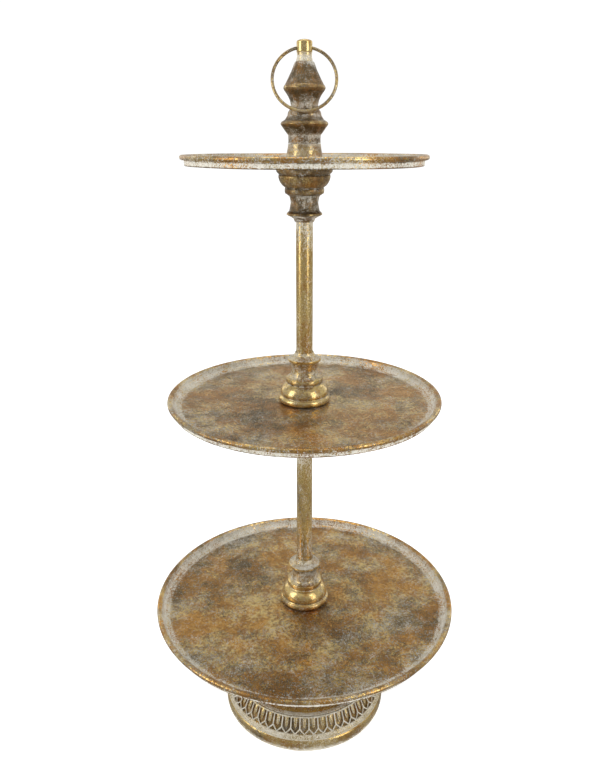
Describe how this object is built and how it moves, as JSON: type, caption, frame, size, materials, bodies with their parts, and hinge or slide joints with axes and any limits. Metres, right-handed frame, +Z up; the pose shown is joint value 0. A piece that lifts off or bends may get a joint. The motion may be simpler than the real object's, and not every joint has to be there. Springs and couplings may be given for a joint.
{
  "type": "tiered cake stand",
  "caption": "Tiered cake stand: round rimmed trays on a turned column, with a pierced flared foot and a swinging ring handle on the finial.",
  "frame": {"origin": "centre of the foot, on the surface the stand rests on", "axes": "+Z up along the column; the ring handle swings about X and leans towards -Y, the front; +X is to the right of the front"},
  "size_m": [0.3556, 0.3556, 0.773],
  "materials": {
    "bright_brass": "polished, worn bright",
    "aged_brass": "antiqued, mottled brown and gold with pale wash",
    "washed_brass": "antiqued brass under a rubbed white wash",
    "plain_steel": "plain zinc-plated steel"
  },
  "bodies": {
    "stand": {"foot_base_ring": "aged_brass", "foot_gallery": "washed_brass", "foot_pedestal": "aged_brass", "tray_bottom": "aged_brass", "tray_middle": "aged_brass", "tray_top": "aged_brass", "collar_bottom": "washed_brass", "collar_under_middle": "washed_brass", "collar_middle": "washed_brass", "collar_under_top": "washed_brass", "tube_lower": "washed_brass", "tube_upper": "washed_brass", "finial_seat": "washed_brass", "finial_body": "washed_brass", "finial_knob": "bright_brass", "tie_rod_lower": "plain_steel", "tie_rod_upper": "plain_steel", "coupling_nut": "plain_steel", "tier_washer": "plain_steel", "base_washer": "plain_steel", "spring_washer": "plain_steel", "base_nut": "plain_steel"},
    "ring": {"ring_handle": "aged_brass"}
  },
  "joints": [
    {"name": "ring_swing", "type": "hinge", "parent": "stand", "child": "ring", "pos_m": [0, 0, 0.7653], "axis": [-1, 0, 0], "range_deg": [0, 325.8]}
  ]
}
